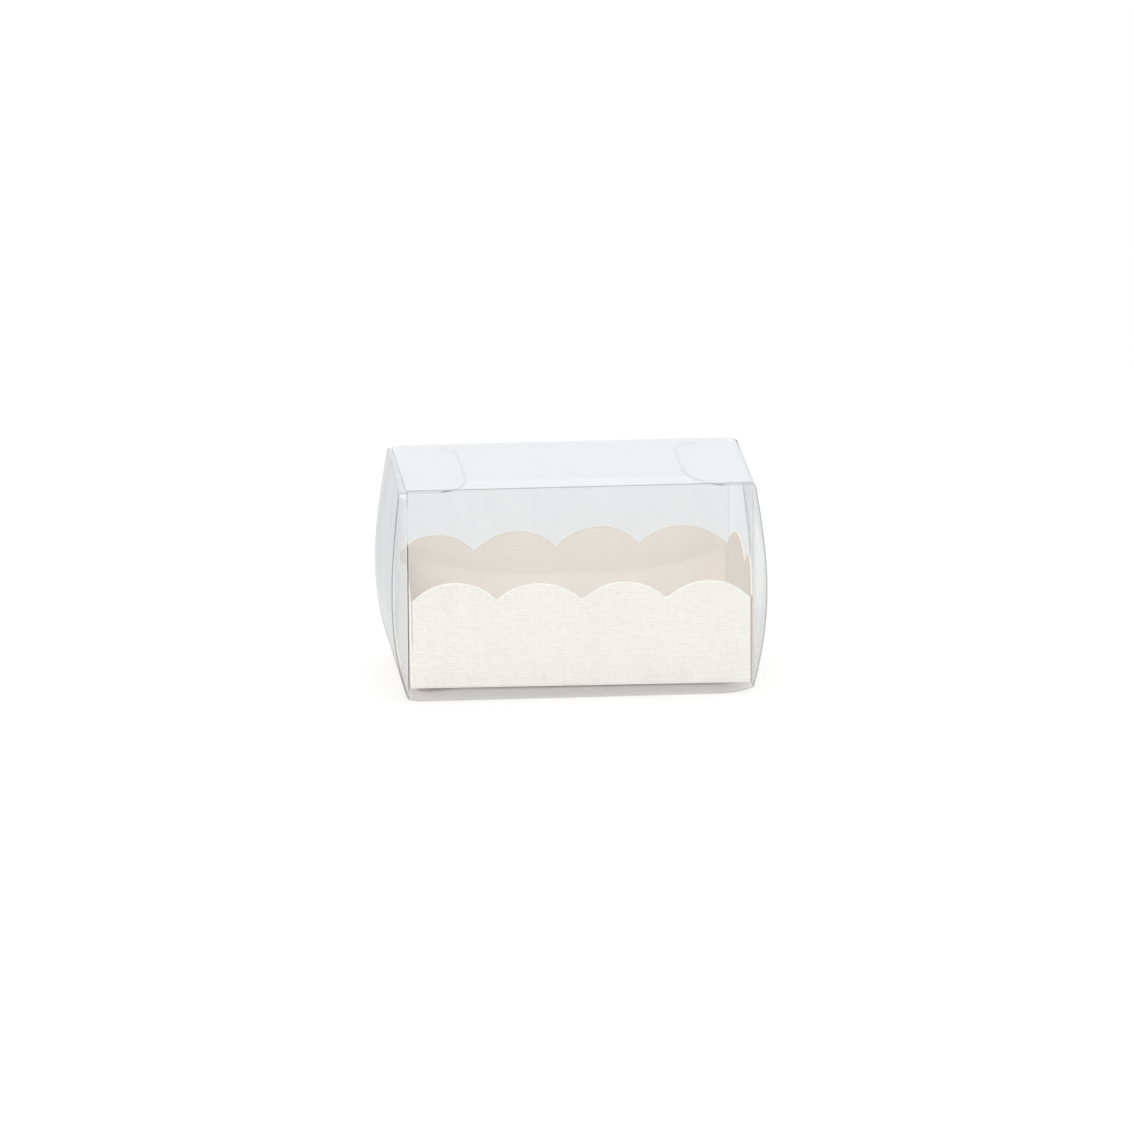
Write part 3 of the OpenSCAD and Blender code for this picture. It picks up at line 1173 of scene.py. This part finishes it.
@dataclass
class CardTray:
    """The card tray: its base and four scalloped walls. Sizes in mm."""

    card: float = 0.35
    inner_x: float = 38.95
    inner_y: float = 23.05
    foot_z: float = 3.40
    valley_z: float = 23.62
    long_count: int = 4
    end_count: int = 2
    long_rise: float = 4.2
    end_rise: float = 5.0
    gap: float = 0.1
    stretch: float = 0.33
    left_skew: float = 0.35
    right_skew: float = 1.2
    tilt: float = 0.58
    rim: float = 0.3
    foot_gap: float = 0.06
    bend_share: float = 0.06
    front_bow: float = 0.05
    front_late: float = 0.3
    front_late_start: Span = (-10.0, 0.0)
    front_late_end: float = 6.0
    front_drop: float = 0.42
    front_drop_start: Span = (-20.0, -12.0)
    back_lift: Span = (0.38, 1.75)
    back_lift_start: Span = (-30.0, 12.0)
    back_humps: tuple = ((0.35, -24.0, 4.0), (0.3, 15.0, 5.0))  # rise, middle, width
    back_drop: float = 0.5
    back_drop_start: Span = (-33.5, -36.0)
    back_bow: float = 0.35
    back_bow_height: float = 25.0
    back_lean: float = 0.22
    back_lean_height: Span = (14.0, 22.0)
    left_slack: float = 1.2
    right_slack: float = -0.05
    slack_height: Span = (6.0, 20.0)
    end_lift_start: Span = (0.72, 0.47)
    corner_lean: float = 0.18
    left_end: EndWall = EndWall(bow=0.5, bow_power=1.0, crown=1.0, back_lift=0.0)
    right_end: EndWall = EndWall(bow=1.4, bow_power=1.1, crown=1.5, back_lift=0.6)

    def settled(self, place: Vector) -> Vector:
        """Sink the tray at its right and skew it at its back.

        Args:
            place: A place of the tray.

        Returns:
            The place after that.
        """
        right = place.x / (2 * self.inner_x) + 0.5
        back = place.y / (2 * self.inner_y) + 0.5
        skew = mix(self.left_skew, self.right_skew, right) * back
        return place + Vector((self.stretch * right - skew, 0, -self.tilt * right))

    @staticmethod
    def scallop(along: float, half: float, count: int, rise: float) -> float:
        """Return the height of the row of scallops above its valleys.

        Args:
            along: The place along the wall, from its middle.
            half: Half the wall's length.
            count: How many scallops there are.
            rise: The height of each.

        Returns:
            The height.
        """
        pitch = 2 * half / count
        from_middle = (along + half) % pitch - pitch / 2
        if abs(abs(along) - half) < 1e-6:
            from_middle = pitch / 2
        radius = (pitch * pitch / 4 + rise * rise) / (2 * rise)
        return math.sqrt(max(0.0, radius ** 2 - from_middle ** 2)) - (radius - rise)

    def dress(self, sheet: Sheet, outward: tuple, body: str, node: str,
              face: bpy.types.Material = CARD_FACE) -> None:
        """Finish a card sheet and put it on its body.

        Args:
            sheet: The sheet.
            outward: The direction that its outer side faces.
            body: The body that it rides on.
            node: The CAD node that it stands for.
            face: The material of its outer side.
        """
        sheet.shape(self.settled)
        # The front wall's top edge keeps the card's own cut edge; other level edges take the tan
        # painted shade and the right end wall's upright edges the brown one.
        top_edge = 3 if outward == (0, -1, 0) else 2
        upright_edge = 4 if outward[0] > 0 else 3
        piece = sheet.finish(outward, self.card,
                             [face, CARD_INSIDE, SHADED_CARD_EDGE, CARD_EDGE, DARK_SHADED_CARD_EDGE],
                             (0, 1, top_edge, upright_edge))
        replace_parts(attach(piece, body), node)

    def base(self) -> None:
        """Build the base with its two folded long edges."""
        sheet = Sheet("tray_base_card")
        sheet.draw_folded(
            (-self.inner_x, -self.inner_y - self.card / 2, self.foot_z),
            [("bend", -self.inner_y, self.foot_z, 90, 4), ("run", 2 * self.inner_y, 0, 20),
             ("bend", self.inner_y, self.foot_z, 90, 4)], 2 * self.inner_x, 32)
        # Painted highlight along the base's front bend.
        sheet.mark("rim", lambda p: 1.0 if -p.y > self.inner_y + 0.02 else 0.0)
        self.dress(sheet, (0, 0, -1), "tube", "tray_base", PAINTED_WARM_BASE)

    def long_top(self, flank: Flank, x: float, half: float) -> float:
        """Work out the upper edge of the front or back wall.

        Args:
            flank: Which of the two.
            x: The place along it.
            half: Half the wall's length.

        Returns:
            The height there.
        """
        if flank is Flank.FRONT:
            late = (self.front_late * ramp(x, *self.front_late_start)
                    * ramp(x, half, half - self.front_late_end))
            change = -self.front_drop * ramp(x, *self.front_drop_start)
        else:
            late = 0.0
            change = (mix(*self.back_lift, ramp(x, *self.back_lift_start))
                      - self.back_drop * ramp(x, *self.back_drop_start)
                      + sum(rise * math.exp(-((x - at) / wide) ** 2)
                            for rise, at, wide in self.back_humps))
        row = self.scallop(x - late, half, self.long_count, self.long_rise)
        return self.valley_z + row + change

    def long_wall(self, flank: Flank) -> None:
        """Build the front or back wall.

        Args:
            flank: Which of the two.
        """
        half = self.inner_x - self.gap
        middle = self.inner_y + self.card / 2

        def place(u: float, v: float) -> tuple:
            """Place a point of the sheet.

            Args:
                u: Its first share.
                v: Its second share.

            Returns:
                X, Y and Z.
            """
            x = mix(-half, half, u)
            z = mix(self.foot_z + self.foot_gap, self.long_top(flank, x, half), v)
            bow = math.cos(math.pi * x / (2 * half))
            if flank is Flank.FRONT:
                return x, -(middle + self.front_bow * bow), z
            end_slack = 0.0 if x < 0 else self.right_slack
            slack = (mix(self.left_slack, end_slack, (x / half) ** 4)
                     * ramp(z, *self.slack_height))
            turn = math.pi * (z - self.foot_z) / self.back_bow_height
            lean = (self.back_lean * ramp(z, *self.back_lean_height)
                    - self.back_bow * bow * math.sin(turn))
            return x - slack, middle + lean, z

        word = flank.name.lower()
        sheet = Sheet(f"tray_{word}_card")
        sheet.draw_grid(64, 56, place, rim=(self.rim / (2 * half), self.rim / 22))
        if flank is Flank.BACK:
            sheet.mark("fold", self.smile_shade)
        self.dress(sheet, (0, flank.value, 0), f"{word}_wall", f"tray_{word}_wall")

    @staticmethod
    def smile_shade(place: Vector) -> float:
        """Paint shade on the back wall above a curved line across it, standing in for a bend of
        the card.

        Args:
            place: A place of the wall.

        Returns:
            The shade there.
        """
        lowest, rise, half, power = 18.8, 4.9, 35.5, 3.2
        height = place.z - lowest - rise * (abs(place.x - 0.5) / half) ** power
        return smooth_step(height / 0.7 + 0.5) * (0.3 + 0.7 * math.exp(-max(height, 0.0) / 2.6))

    def end_wall(self, end: End) -> None:
        """Build an end wall with its folded lower edge.

        Args:
            end: Which of the two.
        """
        half = self.inner_y - self.gap
        bend = self.card / 2
        form = self.right_end if end is End.RIGHT else self.left_end

        def place(u: float, v: float) -> tuple:
            """Place a point of the sheet.

            Args:
                u: Its first share.
                v: Its second share.

            Returns:
                X, Y and Z.
            """
            y = mix(-half, half, u)
            if v < self.bend_share:
                angle = v / self.bend_share * math.pi / 2
                return (end.value * (self.inner_x + bend * math.sin(angle)), y,
                        self.foot_z - bend * math.cos(angle))
            t = (v - self.bend_share) / (1 - self.bend_share)
            level = math.cos(math.pi * y / (2 * half))
            front = 0.5 - y / (2 * half)
            top = (self.valley_z + form.crown * level
                   + form.back_lift * ramp(front, *self.end_lift_start)
                   + self.scallop(y, half, self.end_count, self.end_rise))
            out = (form.bow * math.sin(math.pi * front ** form.bow_power)
                   + self.corner_lean * front ** 2) * math.sin(math.pi / 2 * t)
            return end.value * (self.inner_x + bend + out), y, mix(self.foot_z, top, t)

        word = end.name.lower()
        sheet = Sheet(f"tray_{word}_card")
        sheet.draw_grid(44, 34, place, rim=(self.rim / (2 * half), self.rim / 24))
        self.dress(sheet, (end.value, 0, 0), "tube", f"tray_{word}_wall")

    def build(self) -> None:
        """Build the base and the walls."""
        self.base()
        for flank in Flank:
            self.long_wall(flank)
        for end in End:
            self.end_wall(end)


@dataclass
class Studio:
    """The floor, the light and the camera."""

    azimuth: float = -4.639
    elevation: float = 13.386
    roll: float = -0.416
    distance: float = 3.6
    lens: float = 492.9
    target: tuple[float, float, float] = (0.0, 0.0, 0.025)
    off_right: float = -1.192
    off_up: float = 0.345
    world_light: float = 0.80

    def camera(self) -> None:
        """Set the camera at the photograph's angle."""
        a, e, r = (math.radians(x) for x in (self.azimuth, self.elevation, self.roll))
        ahead = Vector((-math.sin(a) * math.cos(e), math.cos(a) * math.cos(e), -math.sin(e)))
        right = Vector((math.cos(a), math.sin(a), 0))
        up = right.cross(ahead)
        across = right * math.cos(r) + up * math.sin(r)
        above = up * math.cos(r) - right * math.sin(r)
        data = bpy.data.cameras.new("camera")
        data.lens, data.sensor_width = self.lens, 36.0
        data.clip_start, data.clip_end = 0.1, 50.0
        camera = add_object("camera", data)
        turn = Matrix((across, above, -ahead)).transposed().to_4x4()
        spot = Vector(self.target) - ahead * self.distance
        spot += (across * self.off_right + above * self.off_up) * MM
        camera.matrix_world = Matrix.Translation(spot) @ turn
        bpy.context.scene.camera = camera

    def lamp(self, name: str, place: tuple, size: float, power: float, colour: RGB) -> None:
        """Add a soft lamp that faces the box.

        Args:
            name: Its name.
            place: Where it stands, in metres.
            size: The side of its square, in metres.
            power: Its power in watts.
            colour: Its colour.
        """
        data = bpy.data.lights.new(name, "AREA")
        data.shape, data.size, data.energy, data.color = "SQUARE", size, power, colour
        lamp = add_object(name, data)
        lamp.location = place
        lamp.rotation_euler = (Vector(self.target) - Vector(place)).to_track_quat(
            "-Z", "Y").to_euler()

    def world(self) -> None:
        """Make the world white to the eye and softer as a light."""
        world = bpy.data.worlds.new("studio")
        world.use_nodes = True
        bpy.context.scene.world = world
        graph = Graph(world.node_tree)
        background = next(n for n in graph.tree.nodes if n.type == "BACKGROUND")
        light = graph.math("MULTIPLY_ADD", seen_rays(graph), 1 - self.world_light,
                           self.world_light)
        graph.feed(background, {"Strength": light, "Color": (1, 1, 1, 1)})

    def floor(self) -> None:
        """Lay the floor."""
        bm = bmesh.new()
        bmesh.ops.create_grid(bm, x_segments=4, y_segments=4, size=4.0)
        mesh = bpy.data.meshes.new("floor")
        bm.to_mesh(mesh)
        bm.free()
        mesh.materials.append(FloorFinish().material())
        add_object("floor", mesh)

    def build(self) -> None:
        """Set the view, the light and the camera."""
        scene = bpy.context.scene
        scene.view_settings.view_transform = "Standard"
        scene.cycles.max_bounces = 24
        scene.cycles.glossy_bounces = 16
        scene.cycles.transparent_max_bounces = 48
        self.world()
        self.floor()
        self.lamp("overhead", (0.2, 0.3, 2.6), 2.2, 50.0, (0.97, 0.99, 1.0))
        self.lamp("front", (-0.9, -2.7, 1.5), 1.6, 40.0, (1.0, 0.99, 0.97))
        self.camera()


def main() -> None:
    """Build the box, the tray and the studio."""
    logging.basicConfig(level=logging.INFO, format="%(name)s: %(message)s")
    tube = FilmTube()
    tube.build()
    Closure(End.LEFT, tube, standoff=1.6, front_bulge=2.8, back_bulge=3.7, front_power=0.78,
            back_power=0.80, back_corner=(6.0, 6.0), front_corner=(7.5, 13.0), flap_out=1.7,
            turned=0.8).build()
    Closure(End.RIGHT, tube, standoff=0.8, front_bulge=2.9, back_bulge=3.6, front_power=0.90,
            back_power=0.62, back_corner=(8.0, 8.0), front_corner=(9.0, 18.0),
            flap_out=2.0).build()
    CardTray().build()
    Studio().build()


if __name__ == "__main__":
    main()
